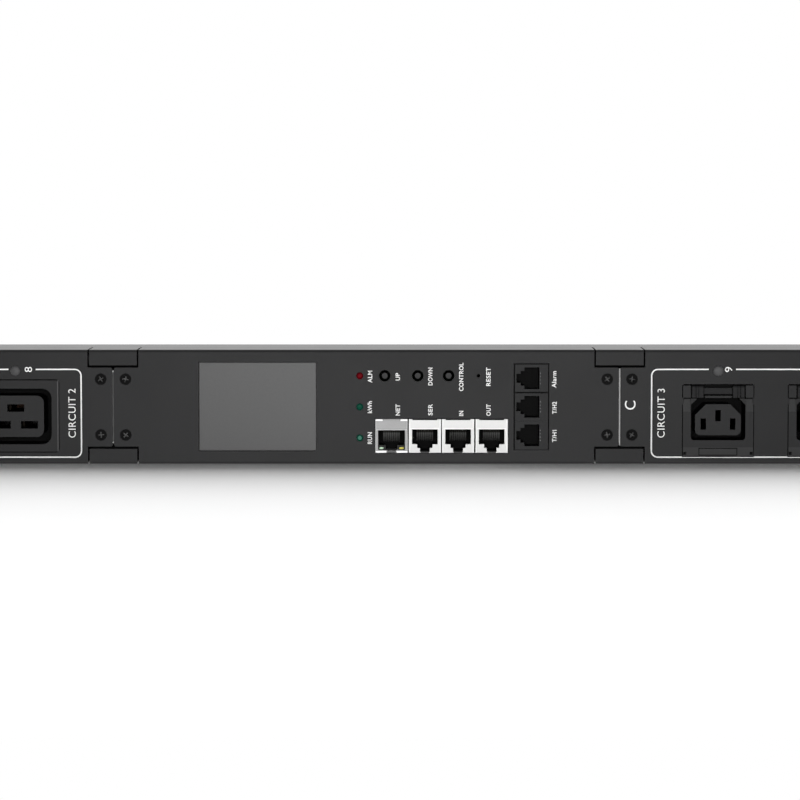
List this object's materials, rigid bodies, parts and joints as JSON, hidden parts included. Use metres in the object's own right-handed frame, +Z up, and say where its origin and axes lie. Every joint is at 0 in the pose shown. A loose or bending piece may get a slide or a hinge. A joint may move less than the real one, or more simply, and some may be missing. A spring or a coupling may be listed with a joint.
{
  "type": "rack power distribution unit",
  "caption": "Long steel-cased rack power strip lying on its edge, with latching and heavy-duty sockets, a display, buttons, data jacks and a cable gland in one end.",
  "frame": {"origin": "centre of the whole unit's box at the level it rests on", "axes": "+X along the unit from the feed end, -Y out of the socket face, +Z up as it lies on its long edge"},
  "size_m": [1.0012, 0.0596, 0.0547],
  "materials": {
    "powder_coat": "fine-textured powder coat",
    "zinc_plate": "plain zinc plate",
    "outlet_plastic": "fine-grained moulding",
    "latch_plastic": "fine-grained moulding",
    "frosted_lens": "frosted",
    "contact_brass": "plain",
    "bar_copper": "plain",
    "insulator_plastic": "moulded",
    "display_glass": "anti-glare",
    "display_frame": "plain",
    "red_lens": "tinted",
    "green_lens": "tinted",
    "button_plastic": "moulded",
    "board_laminate": "solder mask",
    "plated_screw": "zinc plated",
    "jack_shield": "tin plated",
    "jack_lamp": "tinted",
    "insert_plastic": "moulded",
    "white_plastic": "satin",
    "gang_plastic": "moulded",
    "cap_plastic": "fine-grained moulding",
    "gland_plastic": "moulded",
    "seal_rubber": "plain",
    "peg_steel": "zinc plated",
    "black_screw": "black oxide"
  },
  "bodies": {
    "housing": {"alarm_lamp": "red_lens", "back_channel": "powder_coat", "bar_supports": "insulator_plastic", "board_screws": "plated_screw", "bus_bars": "bar_copper", "circuit_cover_1": "powder_coat", "circuit_cover_2": "powder_coat", "circuit_cover_3": "powder_coat", "controller_board": "board_laminate", "controller_cover": "powder_coat", "cover_screws": "black_screw", "display_lens": "display_glass", "display_panel": "display_frame", "far_end_cap": "cap_plastic", "feed_end_cap": "cap_plastic", "gland_body": "gland_plastic", "gland_locknut": "gland_plastic", "gland_nut": "gland_plastic", "gland_seal": "seal_rubber", "green_lamps": "green_lens", "indicator_lamps": "frosted_lens", "link_in_insert": "insert_plastic", "link_in_jack": "white_plastic", "link_out_insert": "insert_plastic", "link_out_jack": "white_plastic", "mounting_buttons": "peg_steel", "network_insert": "insert_plastic", "network_jack": "jack_shield", "network_lamps": "jack_lamp", "outlet_01": "outlet_plastic", "outlet_02": "outlet_plastic", "outlet_03": "outlet_plastic", "outlet_04": "outlet_plastic", "outlet_05": "outlet_plastic", "outlet_06": "outlet_plastic", "outlet_07": "outlet_plastic", "outlet_08": "outlet_plastic", "outlet_09": "outlet_plastic", "outlet_10": "outlet_plastic", "outlet_11": "outlet_plastic", "outlet_12": "outlet_plastic", "outlet_contacts": "contact_brass", "seam_bridges": "zinc_plate", "sensor_jacks": "gang_plastic", "serial_insert": "insert_plastic", "serial_jack": "white_plastic", "terminal_block": "insulator_plastic"},
    "latch_01": {"latch_01": "latch_plastic"},
    "latch_02": {"latch_02": "latch_plastic"},
    "latch_03": {"latch_03": "latch_plastic"},
    "latch_05": {"latch_05": "latch_plastic"},
    "latch_06": {"latch_06": "latch_plastic"},
    "latch_07": {"latch_07": "latch_plastic"},
    "latch_09": {"latch_09": "latch_plastic"},
    "latch_10": {"latch_10": "latch_plastic"},
    "latch_11": {"latch_11": "latch_plastic"},
    "up_button": {"up_button": "button_plastic"},
    "down_button": {"down_button": "button_plastic"},
    "control_button": {"control_button": "button_plastic"},
    "reset_plunger": {"reset_plunger": "button_plastic"}
  },
  "joints": [
    {"name": "latch_01_press", "type": "hinge", "parent": "housing", "child": "latch_01", "pos_m": [-0.42915, -0.02755, 0.03605], "axis": [1, 0, 0], "range_deg": [0, 10], "stiffness_Nm_per_rad": 0.01},
    {"name": "latch_02_press", "type": "hinge", "parent": "housing", "child": "latch_02", "pos_m": [-0.37885, -0.02755, 0.03605], "axis": [1, 0, 0], "range_deg": [0, 10], "stiffness_Nm_per_rad": 0.01},
    {"name": "latch_03_press", "type": "hinge", "parent": "housing", "child": "latch_03", "pos_m": [-0.32855, -0.02755, 0.03605], "axis": [1, 0, 0], "range_deg": [0, 10], "stiffness_Nm_per_rad": 0.01},
    {"name": "latch_05_press", "type": "hinge", "parent": "housing", "child": "latch_05", "pos_m": [-0.18495, -0.02755, 0.03605], "axis": [1, 0, 0], "range_deg": [0, 10], "stiffness_Nm_per_rad": 0.01},
    {"name": "latch_06_press", "type": "hinge", "parent": "housing", "child": "latch_06", "pos_m": [-0.13465, -0.02755, 0.03605], "axis": [1, 0, 0], "range_deg": [0, 10], "stiffness_Nm_per_rad": 0.01},
    {"name": "latch_07_press", "type": "hinge", "parent": "housing", "child": "latch_07", "pos_m": [-0.08435, -0.02755, 0.03605], "axis": [1, 0, 0], "range_deg": [0, 10], "stiffness_Nm_per_rad": 0.01},
    {"name": "latch_09_press", "type": "hinge", "parent": "housing", "child": "latch_09", "pos_m": [0.30035, -0.02755, 0.03605], "axis": [1, 0, 0], "range_deg": [0, 10], "stiffness_Nm_per_rad": 0.01},
    {"name": "latch_10_press", "type": "hinge", "parent": "housing", "child": "latch_10", "pos_m": [0.35065, -0.02755, 0.03605], "axis": [1, 0, 0], "range_deg": [0, 10], "stiffness_Nm_per_rad": 0.01},
    {"name": "latch_11_press", "type": "hinge", "parent": "housing", "child": "latch_11", "pos_m": [0.40095, -0.02755, 0.03605], "axis": [1, 0, 0], "range_deg": [0, 10], "stiffness_Nm_per_rad": 0.01},
    {"name": "up_button_press", "type": "slide", "parent": "housing", "child": "up_button", "axis": [0, 1, 0], "range_m": [0, 0.0005], "stiffness_N_per_m": 300},
    {"name": "down_button_press", "type": "slide", "parent": "housing", "child": "down_button", "axis": [0, 1, 0], "range_m": [0, 0.0005], "stiffness_N_per_m": 300},
    {"name": "control_button_press", "type": "slide", "parent": "housing", "child": "control_button", "axis": [0, 1, 0], "range_m": [0, 0.0005], "stiffness_N_per_m": 300},
    {"name": "reset_plunger_press", "type": "slide", "parent": "housing", "child": "reset_plunger", "axis": [0, 1, 0], "range_m": [0, 0.0005], "stiffness_N_per_m": 300}
  ]
}
